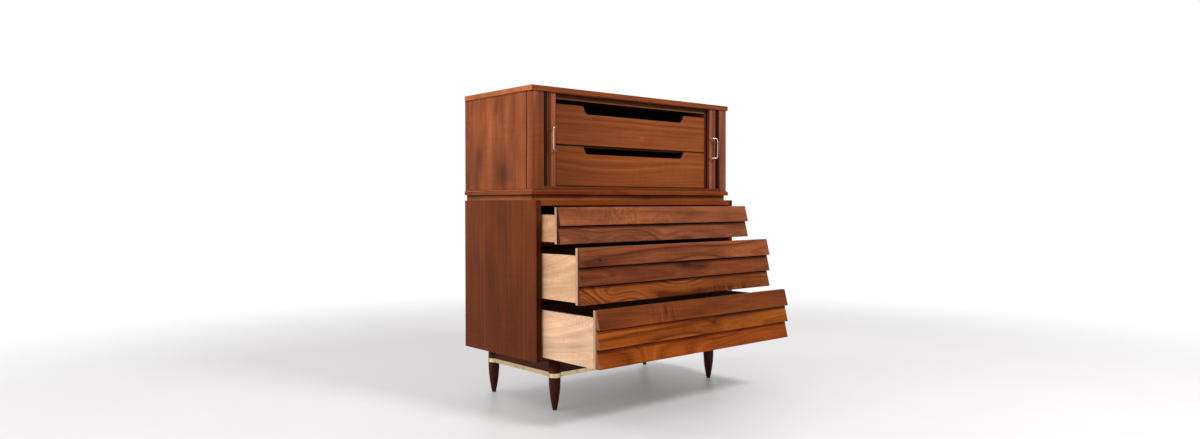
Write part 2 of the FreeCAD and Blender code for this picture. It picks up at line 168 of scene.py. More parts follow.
def timber(name, box, along, across, tone, seed, ring=0.009, heart=(0.0, 0.10), lean=0.03, sway=0.03,
           contrast=0.8, lines=0.12, streaks=0.4, curl=0.06, curl_spot=(0.0, everywhere), curl_breaks=7.0,
           mottle=0.3, pores=0.2, marks=(), ends=None, roughness=0.42, gloss=0.05):
    """Wood as it grows: rings round a heart that lies beside the board, bent by sway and by marks.

    Along is the axis of the fibres and across the axis over the face. Heart is how far the middle of the tree
    lies across the face and behind it, and lean is how fast it runs out of the board. Curl spot is the place
    along the board of the ripples across the grain, and their reach, and curl breaks is how often in a metre
    a ripple breaks off. A mark is a knot, a patch, a stain, a painted shadow or a painted highlight: its place
    along and across, its reach along and across, how many rings it turns and how dark it is, or below 0 how
    pale. Ends is the tone of the cut ends of the fibres.
    """
    deep_share = (0.40, 0.34, 0.32)
    pale_share = (1.5, 1.66, 1.75)
    deep_stop, middle_stop, pale_stop = 0.16, 0.5, 0.86
    middle_shade = 0.51
    end_share = 0.5
    mark_edge = 7.0
    mark_dark = 0.75
    painted_shade_depth = 0.88
    wear_and_highlight_pale = 0.15
    relief_strength = 0.18
    relief_depth = 0.0004
    finish, root, place = new_finish(name)
    centre = (box[0] + box[1]) / 2
    deep = "XYZ".replace(along, "").replace(across, "")
    axes = dict(zip("XYZ", root.node("SeparateXYZ", {}, {0: place}, None)))
    length, width, depth = (axes[axis] - centre["XYZ".index(axis)] for axis in (along, across, deep))
    board = root.node("CombineXYZ", {}, {0: length, 1: width, 2: depth})
    start = tuple(seed * step for step in (3.17, 7.31, 5.13))

    def noise(waves_along, waves_over, detail=2.0, sharpness=0.5):
        """Noise with so many waves in a metre along the fibres and over them."""
        waves = (waves_along, waves_over, waves_over)
        spread = root.node("VectorMath", {"operation": "MULTIPLY_ADD"}, {0: board, 1: waves, 2: start})
        return spread.clouds(1.0, detail, sharpness)

    bend = noise(1.6, 11.0) - 0.5
    waver = noise(7.0, 45.0) - 0.5
    cross = width - heart[0] + bend * sway
    below = depth + heart[1] + length * lean + waver * (sway * 0.3)
    rings = (cross * cross + below * below) ** 0.5 / ring
    core = 0.0
    for mark_along, mark_across, reach_along, reach_across, turns, dark in marks:
        from_along = (length - mark_along) / reach_along
        from_across = (width - mark_across) / reach_across
        swell = ((from_along * from_along + from_across * from_across) * -1.0).math("EXPONENT")
        rings = rings + swell * turns
        core = core + swell ** mark_edge * dark
    settings = {"noise_dimensions": "1D"}
    growth = root.node("TexNoise", settings, {"W": rings, "Scale": 0.45, "Detail": 4.0, "Roughness": 0.6})
    late_wood = rings.math("FRACT") ** 5.0 * growth
    streak = noise(3.0, 170.0, detail=3.0) - 0.5
    fibre = noise(22.0, 900.0) - 0.5
    cloud = noise(4.0, 14.0, detail=3.0, sharpness=0.6) - 0.5
    flame = noise(80.0, curl_breaks, sharpness=0.6) - 0.5
    from_curl = (length - curl_spot[0]) / curl_spot[1]
    patch = noise(3.0, 9.0).within(0.36, 0.6) * (from_curl * from_curl * -1.0).math("EXPONENT")
    pore = noise(70.0, 1900.0, detail=1.0).within(0.6, 0.72)
    shade = (growth - 0.5) * (1.5 * contrast) - late_wood * lines + streak * streaks + middle_shade
    deep_tone, pale_tone = (
        tuple(channel * share for channel, share in zip(tone, shares)) for shares in (deep_share, pale_share)
    )
    colour = shade.toned(((deep_stop, deep_tone), (middle_stop, tone), (pale_stop, pale_tone)))
    # The last of these layers paints shade on faces in grooves, corners and pockets and on shaded edges.
    worn_and_highlit, cut_end, painted_shade = (
        root.node("Attribute", {"attribute_name": layer}, {}, "Fac")
        for layer in ("arris", "end_grain", "painted_shade")
    )
    end_tone = ends or tuple(channel * end_share for channel in tone)
    colour = cut_end.blended(colour, (*end_tone, 1.0))
    tint = flame * patch * (curl * 4.0) + cloud * (mottle * 2.0) + fibre * 0.22 - pore * pores + 1.0
    # Eased edges are lighter, partly as wear and partly as a painted highlight.
    tint = tint * (worn_and_highlit * wear_and_highlight_pale + 1.0) * (1.0 - core * mark_dark) * (1.0 - painted_shade * painted_shade_depth)
    relief = fibre * 0.5 + streak * 0.3 - pore * 0.6
    sockets = {"Strength": relief_strength, "Distance": relief_depth, "Height": relief}
    shader = root.node("BsdfPrincipled", {}, {
        "Base Color": colour.scaled(tint),
        "Roughness": cloud * 0.18 + streak * 0.1 + pore * 0.12 + roughness,
        "Specular IOR Level": gloss,
        "Normal": root.node("Bump", {}, sockets),
    })
    return coat_with(finish, shader)


def stand(name, data):
    """Puts a mesh, a lamp or a camera into the scene."""
    thing = bpy.data.objects.new(name, data)
    bpy.context.scene.collection.objects.link(thing)
    return thing


def shape(name, bm, finishes):
    """Makes an object of a bmesh, whose faces say which of the finishes they have."""
    mesh = bpy.data.meshes.new(name)
    bm.to_mesh(mesh)
    bm.free()
    for finish in finishes:
        mesh.materials.append(finish)
    return stand(name, mesh)


def fit(name, bm, finishes, node):
    """Makes a piece of a bmesh. It rides on the body of the node that it stands for."""
    piece = shape(name, bm, finishes)
    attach(piece, frame["nodes"][node]["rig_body"])
    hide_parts(node)


# Points nearer than a hair are level, and a face whose normal passes square_on lies square to an axis.
hair = 1e-6
square_on = 0.9


def turned(outline, sides):
    """Turns an outline of (radius, height) points round the upright axis."""
    bm = bmesh.new()
    points = [bm.verts.new((radius, 0, height)) for radius, height in outline]
    edges = [bm.edges.new(pair) for pair in zip(points, points[1:])]
    bmesh.ops.spin(bm, geom=points + edges, cent=(0, 0, 0), axis=(0, 0, 1), angle=math.tau, steps=sides,
                   use_merge=True)
    bmesh.ops.remove_doubles(bm, verts=bm.verts, dist=hair)
    bmesh.ops.recalc_face_normals(bm, faces=bm.faces)
    for face in bm.faces:
        face.smooth = abs(face.normal.z) < square_on
    return bm


stain = (0.054, 0.0096, 0.0021)
leg_tip_radius = 0.009
leg_tip_round = 0.0016
leg_sides = 48
taper_steps = 18
drum_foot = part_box("apron_front")[0].z
for number, node in enumerate(("leg_front_left", "leg_front_right", "leg_back_left", "leg_back_right")):
    low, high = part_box(node)
    drum_radius = (high.x - low.x) / 2
    taper_foot = low.z + leg_tip_round
    outline = [(0, low.z), (leg_tip_radius - leg_tip_round, low.z)]
    for step in range(taper_steps + 1):
        t = step / taper_steps
        radius = leg_tip_radius + (drum_radius - leg_tip_radius) * (1 - (1 - t) ** 2)
        outline.append((radius, taper_foot + (drum_foot - taper_foot) * t))
    outline += [(drum_radius, high.z), (0, high.z)]
    bm = turned(outline, leg_sides)
    bmesh.ops.translate(bm, vec=((low.x + high.x) / 2, (low.y + high.y) / 2, 0), verts=bm.verts)
    finish = timber(node + "_stain", (low, high), "Z", "X", stain, seed=11 + number, ring=0.006, lean=0.05,
                    mottle=0.1, roughness=0.36, gloss=0.1)
    fit(node + "_turned", bm, [finish], node)


def scuffed_metal(name, scale, detail, dull, bright, metallic, scatter):
    """Plain metal with fine scuffs that change its tone, and its roughness by scatter."""
    least_roughness = 0.3
    finish, root, place = new_finish(name)
    scuff = place.clouds(scale, detail)
    shader = root.node("BsdfPrincipled", {}, {
        "Base Color": scuff.blended((*dull, 1), (*bright, 1)),
        "Metallic": metallic,
        "Roughness": scuff * scatter + least_roughness,
    })
    return coat_with(finish, shader)


def dress(node, finish):
    """Gives a finish to a solid of the frame whose shape is already right."""
    for slot in frame["nodes"][node].material_slots:
        slot.material = finish


dress("leg_glides", scuffed_metal("glide_metal", scale=900.0, detail=3.0, dull=(0.02, 0.018, 0.016),
                                  bright=(0.09, 0.085, 0.08), metallic=0.8, scatter=0.3))

# Apron: four stained rails between the leg drums with glue blocks in the corners. A brass strip with
# two ribs and a channel is bent round the foot of the rails and the drums and pinned there.
for node, along in (("apron_front", "X"), ("apron_back", "X"), ("apron_sides", "Y")):
    dress(node, timber(node + "_stain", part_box(node), along, "Z", stain, seed=23, ring=0.007, gloss=0.1))
maple = (0.80, 0.50, 0.30)
maple_contrast = 0.3
dress("corner_blocks", timber("block_maple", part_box("corner_blocks"), "X", "Z", maple, seed=31,
                              contrast=maple_contrast))


def drawn_brass(name, along, bright, dull):
    """Brass brushed along one axis, with patches of a duller tone."""
    waves_along, waves_over = 60.0, 5000.0
    patches = 45.0
    most_dull = 0.6
    least_roughness = 0.2
    finish, root, place = new_finish(name)
    waves = [waves_along if axis == along else waves_over for axis in "XYZ"]
    brush = root.node("VectorMath", {"operation": "MULTIPLY"}, {0: place, 1: waves}).clouds(1.0)
    tarnish = place.clouds(patches, detail=4.0).within(0.45, 0.75)
    shader = root.node("BsdfPrincipled", {}, {
        "Base Color": (tarnish * most_dull).blended((*bright, 1), (*dull, 1)),
        "Metallic": 1.0,
        "Roughness": brush * 0.16 + tarnish * 0.12 + least_roughness,
        "Normal": root.node("Bump", {}, {"Strength": 0.06, "Distance": 0.0002, "Height": brush}),
    })
    return coat_with(finish, shader)


dress("brass_band", drawn_brass("band_brass", "X", bright=(0.68, 0.525, 0.30), dull=(0.42, 0.30, 0.15)))

# Lower case: a box of walnut veneered boards. The sides run past the top and the bottom, and their grain
# stands upright. Painted shade darkens the front edges of the sides and of the bottom, beside the open
# drawers. Every arris is eased before the lacquer.
sharp_turn = 0.6
arris_steps = 2
board_arris = 0.0009
thin_arris = 0.0006
fine_arris = 0.0005


def mark_ends(bm, along):
    """Marks the faces that show cut ends of the fibres."""
    end_grain = bm.faces.layers.float.new("end_grain")
    for face in bm.faces:
        face[end_grain] = float(abs(face.normal["XYZ".index(along)]) > square_on)


def paint_shade(bm, front, below=0.0):
    """Paints shade on the faces that look to the front and on the faces that look down."""
    painted_shade = bm.faces.layers.float.new("painted_shade")
    for face in bm.faces:
        face[painted_shade] = front * (face.normal.y < -square_on) + below * (face.normal.z < -square_on)


def bevel(bm, edges, radius, steps):
    """Rounds edges in so many steps and returns the new faces."""
    made = bmesh.ops.bevel(bm, geom=edges, offset=radius, offset_type="OFFSET", segments=steps, profile=0.5,
                           affect="EDGES", clamp_overlap=True, material=-1)
    return made["faces"]


def ease(bm, radius):
    """Rounds every arris, and marks the rounds so that they look rubbed and catch a painted highlight."""
    arris = bm.faces.layers.float.get("arris") or bm.faces.layers.float.new("arris")
    corners = [edge for edge in bm.edges if edge.is_manifold and edge.calc_face_angle() > sharp_turn]
    for face in bevel(bm, corners, radius, arris_steps):
        face[arris] = 1.0
        face.smooth = True


def block(bm, low, high, finish=0):
    """Adds a plain board between two corners, with one of the finishes, and returns its vertices."""
    low, high = Vector(low), Vector(high)
    verts = bmesh.ops.create_cube(bm, size=1)["verts"]
    bmesh.ops.scale(bm, vec=high - low, verts=verts)
    bmesh.ops.translate(bm, vec=(low + high) / 2, verts=verts)
    for face in {face for vert in verts for face in vert.link_faces}:
        face.material_index = finish
    return verts


def plank(node, finish, along, radius=board_arris, dark_front=0.0, dark_below=0.0):
    """One board the size of its node, with eased arrises and perhaps painted shade on its front edge or
    underside.
    """
    bm = bmesh.new()
    block(bm, *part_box(node))
    paint_shade(bm, dark_front, dark_below)
    mark_ends(bm, along)
    ease(bm, radius)
    fit(node + "_board", bm, [finish], node)


side_tone = (0.122, 0.0272, 0.0058)
# The first two marks make each side paler at its top and darker at its foot, partly the veneer's own tone and
# partly painted light. The other marks are figure.
side_figure_and_shade = (
    (0.24, 0.0, 0.5, 1.2, 0.0, -0.18),
    (-0.26, 0.0, 0.6, 1.2, 0.0, 0.12),
    (0.06, 0.045, 0.60, 0.085, 0.0, 0.17),
    (0.20, 0.075, 0.16, 0.09, 0.0, -0.16),
    (0.05, -0.15, 0.80, 0.12, 0.0, -0.12),
    (0.26, 0.22, 0.45, 0.25, 0.0, -0.35),
    (0.28, -0.20, 0.20, 0.15, 0.0, -0.25),
    (-0.12, -0.10, 0.45, 0.25, 0.0, 0.10),
)
for number, node in enumerate(("lower_side_left", "lower_side_right")):
    finish = timber(node + "_walnut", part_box(node), "Z", "Y", side_tone, seed=3 + number, ring=0.006,
                    heart=(0.30, 0.05), lean=0.01, sway=0.02, contrast=0.28, lines=0.03, streaks=0.2,
                    mottle=0.5, marks=side_figure_and_shade)
    plank(node, finish, "Z", dark_front=0.6)
rail_tone = (0.22, 0.047, 0.0095)
for number, (node, dark_front) in enumerate((("lower_top", 0.0), ("lower_bottom", 0.8))):
    finish = timber(node + "_walnut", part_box(node), "X", "Y", rail_tone, seed=7 + number, ring=0.007,
                    heart=(0.10, 0.06), lean=0.015)
    plank(node, finish, "X", dark_front=dark_front)
ply_tone = (0.27, 0.135, 0.06)
ply_look = dict(ring=0.012, roughness=0.6, gloss=0.12)
for number, node in enumerate(("lower_back", "upper_back")):
    dress(node, timber(node + "_ply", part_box(node), "Z", "X", ply_tone, seed=41 + number, heart=(0.05, 0.12),
                       lean=0.06, contrast=0.4, **ply_look))

# Inside the lower case: walnut rails in front of plywood dust panels, which each drawer runs on, and
# a maple guide along the middle of each that the strips under a drawer straddle.
for number, node in enumerate(("drawer_rail_upper", "drawer_rail_lower")):
    plank(node, timber(node + "_walnut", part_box(node), "X", "Z", rail_tone, seed=51 + number), "X")
dress("dust_panels", timber("dust_ply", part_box("dust_panels"), "X", "Y", ply_tone, seed=53, **ply_look))
dress("drawer_guides", timber("guide_maple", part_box("drawer_guides"), "Y", "X", maple, seed=55,
                              contrast=maple_contrast))


# Waist: a frame of four walnut rails set back from the case below, screwed down from inside, under a
# moulded board. Its top edge is rounded on three sides and carries a painted highlight at the left and
# right, and walnut lippings cover the ends of both.
def lip_ends(bm):
    """Gives the second finish, whose grain runs to the back, to the left and right ends of a board."""
    for face in bm.faces:
        face.material_index = int(abs(face.normal.x) > square_on)


def both_ends(low, high, thickness):
    """Where the boards at both ends of a space start and stop."""
    return (low, low + thickness), (high - thickness, high)


waist_rail = 0.06
low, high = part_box("waist_frame")
bm = bmesh.new()
for start_x, end_x in both_ends(low.x, high.x, waist_rail):
    block(bm, (start_x, low.y, low.z), (end_x, high.y, high.z))
for start_y, end_y in both_ends(low.y, high.y, waist_rail):
    block(bm, (low.x + waist_rail, start_y, low.z), (high.x - waist_rail, end_y, high.z))
lip_ends(bm)
waist_finishes = []
# The faces to the front have a darker tone than the faces to the sides, partly as painted shade under the
# moulding, and every rail has a painted shadow along its top under the moulding.
for along, tone, seed, dark_reach in (
    ("X", (0.29, 0.084, 0.020), 61, 0.010),
    ("Y", (0.385, 0.108, 0.032), 62, 0.035),
):
    shade_under_moulding = (0.0, (high.z - low.z) / 2, everywhere, dark_reach, 0.0, 1.2)
    waist_finishes.append(timber("waist_walnut_" + along, (low, high), along, "Z", tone, seed,
                                 marks=(shade_under_moulding,)))
fit("waist_frame_rails", bm, waist_finishes, "waist_frame")

moulding_round = 0.007
moulding_steps = 8
moulding_arris = 0.0008
crest_slope = 0.25
crest_highlight = 5.0
low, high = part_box("waist_moulding")
bm = bmesh.new()
arris = bm.faces.layers.float.new("arris")
block(bm, low, high)
lip_ends(bm)
lips = []
for edge in bm.edges:
    on_top = all(vert.co.z > high.z - hair for vert in edge.verts)
    at_back = all(vert.co.y > high.y - hair for vert in edge.verts)
    if on_top and not at_back:
        lips.append(edge)
# A painted highlight on the round of the top at its left and right ends.
for face in bevel(bm, lips, moulding_round, moulding_steps):
    face.smooth = True
    face[arris] = crest_highlight * (face.normal.z > crest_slope and abs(face.normal.x) > crest_slope)
ease(bm, moulding_arris)
for vert in bm.verts:
    vert.co.x = min(max(vert.co.x, low.x), high.x)
moulding_finishes = []
for along, across, tone, seed in (
    ("X", "Y", (0.172, 0.032, 0.0055), 64),
    ("Y", "Z", (0.19, 0.043, 0.0098), 65),
):
    moulding_finishes.append(timber("moulding_walnut_" + along, (low, high), along, across, tone, seed,
                                    ring=0.007, heart=(0.15, 0.05), lean=0.02, contrast=1.2))
fit("waist_moulding_board", bm, moulding_finishes, "waist_moulding")

# Upper case: two walnut sides with lively upright grain, each ended by a solid corner post, rounded
# outside and coved behind. Painted shade darkens the quirk between them and a strip under the top. The
# top and the floor carry the door grooves, and lippings cover their ends.
slight_turn = 0.01
flat_turn = math.radians(0.5)


def eased_copy(node, radius):
    """The node's own shape, with its flat faces made whole and its arrises rounded."""
    bm = bmesh.new()
    bm.from_mesh(frame["nodes"][node].data)
    bmesh.ops.remove_doubles(bm, verts=bm.verts, dist=hair)
    bmesh.ops.dissolve_limit(bm, angle_limit=flat_turn, verts=bm.verts, edges=bm.edges)
    bmesh.ops.recalc_face_normals(bm, faces=bm.faces)
    for edge in bm.edges:
        if edge.is_manifold and slight_turn < edge.calc_face_angle() < sharp_turn:
            for face in edge.link_faces:
                face.smooth = True
    ease(bm, radius)
    return bm


quirk_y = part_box("upper_side_left")[0].y
quirk_reach = 0.0026
quirk_slope = 0.5


def quirked_copy(node):
    """The node's own shape, eased, with painted shade in the groove between side and post."""
    bm = eased_copy(node, fine_arris)
    painted_shade = bm.faces.layers.float.new("painted_shade")
    for face in bm.faces:
        slopes = min(abs(face.normal.x), abs(face.normal.y)) > quirk_slope
        in_quirk = slopes and abs(face.calc_center_median().y - quirk_y) < quirk_reach
        face[painted_shade] = float(in_quirk)
    return bm


low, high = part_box("upper_side_left")
# A painted shadow along the top of a board, under the overhang of the top board.
shade_under_top = ((high.z - low.z) / 2, 0.0, 0.012, everywhere, 0.0, 0.9)
upper_tone = (0.255, 0.066, 0.020)
# The first mark is painted shade under the top. The last makes the side darker at its foot, partly as figure
# and partly as painted shade. The rest are figure.
upper_figure_and_shade = (
    shade_under_top,
    (-0.120, -0.059, 0.160, 0.110, 0.0, 0.66),
    (-0.050, 0.107, 0.140, 0.070, 0.0, 0.58),
    (0.125, -0.007, 0.060, 0.040, 0.0, 0.40),
    (0.010, 0.032, 0.420, 0.040, 0.0, -0.34),
    (-0.020, -0.183, 0.500, 0.020, 0.0, -0.20),
    (0.008, -0.095, 0.040, 0.030, 1.0, -0.25),
    (-0.170, 0.050, 0.350, 0.700, 0.0, 0.22),
)
for number, node in enumerate(("upper_side_left", "upper_side_right")):
    finish = timber(node + "_walnut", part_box(node), "Z", "Y", upper_tone, seed=71 + number, ring=0.016,
                    heart=(0.06, 0.07), lean=0.06, sway=0.07, contrast=0.4, lines=0.03, streaks=0.2, curl=0.1,
                    mottle=0.75, marks=upper_figure_and_shade)
    fit(node + "_board", quirked_copy(node), [finish], node)
for number, (side, post_tone, heartwood) in enumerate((
    ("left", (0.25, 0.056, 0.0125), (0.0, 0.016, 5.0, 0.065, 0.0, 0.45)),
    ("right", (0.235, 0.068, 0.028), (0.0, 0.0, 0.24, 5.0, 0.0, 0.25)),
)):
    node = "corner_post_" + side
    finish = timber(node + "_walnut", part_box(node), "Z", "X", post_tone, seed=75 + number, ring=0.009,
                    heart=(0.03, 0.12), lean=0.04, sway=0.03, curl=0.12, gloss=0.12,
                    marks=(shade_under_top, heartwood))
    fit(node + "_turned", quirked_copy(node), [finish], node)
pale_front = (-0.17, 0.0, 0.30, everywhere, 0.0, -0.45)
# The front edge of the floor of the upper case is darkened as painted shade.
for number, (node, board_tone, lipping_tone, dark_front) in enumerate((
    ("top_board", (0.205, 0.046, 0.0115), (0.37, 0.107, 0.031), 0.0),
    ("upper_bottom", (0.24, 0.060, 0.015), (0.24, 0.060, 0.015), 0.55),
)):
    board_finishes = []
    for along, across, tone, marks in (("X", "Y", board_tone, ()), ("Y", "Z", lipping_tone, (pale_front,))):
        board_finishes.append(timber(node + "_walnut_" + along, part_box(node), along, across, tone,
                                     seed=78 + number, ring=0.01, heart=(0.03, 0.09), lean=0.05, sway=0.05,
                                     marks=marks))
    bm = eased_copy(node, board_arris)
    lip_ends(bm)
    paint_shade(bm, dark_front)
    fit(node + "_board", bm, board_finishes, node)

# Inner case: thin walnut liners stand beside the two inner drawers and carry a thin top, with the head
# rail over it and a divider between the drawers. Painted shade darkens the undersides and the front edges
# of the liners and the divider. The head rail's tone is darkest, as painted shade, with a painted shadow
# along its top under the top board.
liner_tone = (0.24, 0.075, 0.024)
head_rail_shaded_tone = (0.10, 0.034, 0.009)
low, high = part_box("head_rail")
# A painted shadow along the top of the head rail, under the top board.
shade_under_board = (0.0, (high.z - low.z) / 2, everywhere, 0.022, 0.0, 1.0)
for number, (node, along, across, tone, marks, dark_front) in enumerate((
    ("liner_left", "Z", "Y", liner_tone, (), 0.9),
    ("liner_right", "Z", "Y", liner_tone, (), 0.9),
    ("liner_top", "X", "Y", liner_tone, (), 0.0),
    ("inner_divider", "X", "Y", liner_tone, (), 0.75),
    ("head_rail", "X", "Z", head_rail_shaded_tone, (shade_under_board,), 0.0),
)):
    finish = timber(node + "_walnut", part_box(node), along, across, tone, seed=81 + number, marks=marks)
    plank(node, finish, along, thin_arris, dark_front, dark_below=1.0)

# Tambour doors: a walnut lead stile carries a bent brass bow handle, screwed from behind. Narrow walnut
# slats on canvas follow it round the corner into a dark pocket. The slats that a shut door would draw
# out lie folded inside its stile.
stile_tone = (0.25, 0.068, 0.027)
stile_arris = 0.0008
handle_bright = (0.42, 0.35, 0.24)
handle_dull = (0.28, 0.22, 0.13)
# The left curtain's darker tone is painted shade from the post beside it.
curtain_tones_with_shade = {"left": (0.15, 0.034, 0.012), "right": (0.24, 0.068, 0.033)}
drawn_tone = (0.20, 0.052, 0.021)
slat_look = dict(ring=0.012, heart=(0.2, 0.05), gloss=0.1, marks=(shade_under_top,))
pocket_x = {"left": 0.4650, "right": 0.4606}
pocket_shade = 1.1
groove_shade = 0.85
slat_pitch = 0.0097
slat_gap = 0.0008
slat_bevel = 0.0019
groove_face_area = 0.0006
drawn_depth = (0.0021, 0.0105)
drawn_slats = 44
groove_end = 0.0015
end_clearance = 0.001
screw_steel = scuffed_metal("screw_steel", scale=1500.0, detail=2.0, dull=(0.4, 0.4, 0.41),
                            bright=(0.62, 0.62, 0.63), metallic=1.0, scatter=0.2)


def folded(place, travel, near, far):
    """Where a point rests whose place is given with the door shut: inside the stile, between near and far."""
    halvings = 60
    low, high = far, near
    for halving in range(halvings):
        middle = (low + high) / 2
        t = (near - middle) / (near - far)
        if middle - travel * t * t * (3 - 2 * t) < place:
            low = middle
        else:
            high = middle
    return (low + high) / 2


joint_of = {row["name"]: row for row in frame["joints"]}
for number, (side, out) in enumerate((("left", -1), ("right", 1))):
    stile = "stile_" + side
    low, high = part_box(stile)
    stile_finish = timber(stile + "_walnut", (low, high), "Z", "X", stile_tone, seed=91 + number,
                          heart=(0.05, 0.08), marks=(shade_under_top,))
    fit(stile + "_board", eased_copy(stile, stile_arris), [stile_finish], stile)
    dress("handle_" + side, drawn_brass("handle_brass_" + side, "Z", handle_bright, handle_dull))
    dress("handle_screws_" + side, screw_steel)
    curtain = "curtain_" + side
    slat_finish = timber("slat_walnut_" + side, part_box(curtain), "Z", "Y", curtain_tones_with_shade[side],
                         seed=93 + number, **slat_look)
    bm = bmesh.new()
    bm.from_mesh(frame["nodes"][curtain].data)
    bmesh.ops.bisect_plane(bm, geom=bm.verts[:] + bm.edges[:] + bm.faces[:],
                           plane_co=(out * pocket_x[side], 0, 0), plane_no=(1, 0, 0))
    # Painted shade: slat faces beyond the pocket line and the narrow groove faces between slats are darkened.
    painted_shade = bm.faces.layers.float.new("painted_shade")
    for face in bm.faces:
        if abs(face.calc_center_median().x) > pocket_x[side]:
            face[painted_shade] = pocket_shade
        elif face.calc_area() < groove_face_area:
            face[painted_shade] = groove_shade
    fit(curtain + "_slats", bm, [slat_finish], curtain)
    travel = -joint_of["door_" + side + "_slide"]["range_m"][0]
    near = max(out * low.x, out * high.x) - slat_gap
    far = min(out * low.x, out * high.x) + groove_end
    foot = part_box("upper_bottom")[1].z + end_clearance
    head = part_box("top_board")[0].z - end_clearance
    face_y, back_y = (low.y + depth for depth in drawn_depth)
    bm = bmesh.new()
    painted_shade = bm.faces.layers.float.new("painted_shade")
    for count in range(drawn_slats):
        end_x = near - count * slat_pitch
        verts = block(bm, (end_x - slat_pitch + slat_gap, face_y, foot), (end_x, back_y, head))
        edges = {edge for vert in verts for edge in vert.link_edges}
        front = [edge for edge in edges if all(vert.co.y < face_y + hair for vert in edge.verts)]
        upright = [edge for edge in front if abs(edge.verts[0].co.x - edge.verts[1].co.x) < hair]
        # Painted shade on the bevels of the folded slats' grooves.
        for face in bevel(bm, upright, slat_bevel, steps=1):
            face[painted_shade] = groove_shade
    for vert in bm.verts:
        vert.co.x = out * folded(vert.co.x, travel, near, far)
    bmesh.ops.recalc_face_normals(bm, faces=bm.faces)
    drawn_finish = timber("drawn_walnut_" + side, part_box(stile), "Z", "X", drawn_tone, seed=95 + number,
                          **slat_look)
    drawn = shape("curtain_drawn_" + side, bm, [drawn_finish])
    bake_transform(drawn)


# Louvred drawers: a pale core board carries two or three walnut slats, each a wedge with a thick lip at
# its foot, glued on so that they overlap like clapboard. Painted shade darkens the corner under a lip.
# The box behind is maple, and its sides are dovetailed to an inner front.
def profile_board(bm, outline, start_x, end_x, finish=0):
    """Adds a board with one outline of (y, z) points all along X and with one of the finishes."""
    end = bm.faces.new([bm.verts.new((start_x, y, z)) for y, z in outline])
    pulled = bmesh.ops.extrude_face_region(bm, geom=[end])["geom"]
    moved = [item for item in pulled if isinstance(item, bmesh.types.BMVert)]
    bmesh.ops.translate(bm, vec=(end_x - start_x, 0, 0), verts=moved)
    faces = list({face for vert in moved for face in vert.link_faces} | {end})
    bmesh.ops.recalc_face_normals(bm, faces=faces)
    for face in faces:
        face.material_index = finish


def lay_bottom(sheet, seed):
    """Gives the look of hardboard to the bottom of a drawer."""
    dress(sheet, timber(sheet + "_hardboard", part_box(sheet), "X", "Y", (0.11, 0.06, 0.032), seed,
                        contrast=0.15, lines=0.0, streaks=0.1, roughness=0.6))


slat_top = 0.006
slat_land = 0.003
seam_height = 0.006
slat_figures = {
    "drawer_top": (
        dict(tone=(0.26, 0.076, 0.027), seed=101, ring=0.008, heart=(0.0, 0.10), lean=0.01, sway=0.01,
             contrast=0.6, lines=0.05, streaks=0.2, mottle=0.9, curl=0.4, curl_spot=(-0.3, 0.5),
             curl_breaks=60.0),
        dict(tone=(0.22, 0.063, 0.026), seed=102, ring=0.006, heart=(-0.01, 0.05), lean=0.04, sway=0.018,
             contrast=1.1, lines=0.15, mottle=0.7,
             marks=((-0.343, -0.01, 0.10, 0.05, 2.0, -0.35), (0.005, 0.0, 0.08, 0.05, 2.0, -0.35))),
    ),
    "drawer_middle": (
        dict(tone=(0.215, 0.057, 0.019), seed=103, ring=0.007, heart=(0.0, 0.08), lean=-0.03, sway=0.015,
             contrast=1.3, mottle=0.5,
             marks=((-0.424, -0.012, 0.018, 0.012, 0.0, 0.8), (0.10, -0.06, 0.20, 0.05, 5.0, 0.0),
                    (0.30, 0.05, 0.16, 0.04, 3.0, 0.0), (-0.46, 0.0, 0.4, 0.3, 0.0, 0.22))),
        dict(tone=(0.132, 0.0315, 0.0095), seed=104, ring=0.007, heart=(0.01, 0.07), lean=0.02, sway=0.02,
             contrast=1.3, mottle=0.6,
             marks=((-0.366, 0.002, 0.016, 0.010, 0.8, 0.6), (0.01, 0.012, 0.06, 0.016, 2.5, 0.25),
                    (0.10, 0.004, 0.045, 0.014, 2.0, 0.25), (0.03, 0.01, 0.2, 0.1, 0.0, 0.3))),
        dict(tone=(0.262, 0.064, 0.0112), seed=105, ring=0.007, heart=(0.0, 0.09), lean=0.02, sway=0.012,
             contrast=1.6, mottle=0.6, curl=1.4, curl_spot=(0.20, 0.22), curl_breaks=9.0,
             marks=((-0.58, -0.08, 0.14, 0.09, 30.0, 0.0), (-0.28, -0.05, 0.10, 0.05, 6.0, 0.0),
                    (-0.02, 0.05, 0.12, 0.05, 6.0, 0.0), (0.48, 0.0, 0.7, 0.5, 0.0, 0.5))),
    ),
    "drawer_low": (
        dict(tone=(0.145, 0.033, 0.0068), seed=106, ring=0.008, heart=(0.0, 0.08), lean=0.02, sway=0.012,
             mottle=0.6, curl=0.8, curl_spot=(-0.19, 0.08), marks=((-0.19, 0.006, 0.024, 0.05, 0.0, 0.7),)),
        dict(tone=(0.33, 0.076, 0.0075), seed=107, ring=0.007, heart=(-0.01, 0.08), lean=-0.02, sway=0.015,
             contrast=1.3, mottle=0.5,
             marks=((0.066, 0.004, 0.03, 0.016, 1.0, 0.45), (-0.10, -0.05, 0.22, 0.04, 3.5, 0.0),
                    (0.28, 0.0, 1.1, 0.6, 0.0, 0.45))),
        dict(tone=(0.24, 0.048, 0.0046), seed=108, ring=0.007, heart=(0.0, 0.09), lean=0.02, sway=0.012,
             contrast=0.9, lines=0.25, mottle=0.5,
             marks=((-0.16, -0.02, 0.20, 0.05, 5.0, 0.0), (0.12, 0.03, 0.14, 0.04, 3.0, 0.0))),
    ),
}
# The end tones darken from the low drawer to the top one, which stands further in: painted shade on the cut
# ends.
slat_end_tones_with_shade = {
    "drawer_top": (0.041, 0.013, 0.0068),
    "drawer_middle": (0.105, 0.038, 0.021),
    "drawer_low": (0.20, 0.095, 0.048),
}
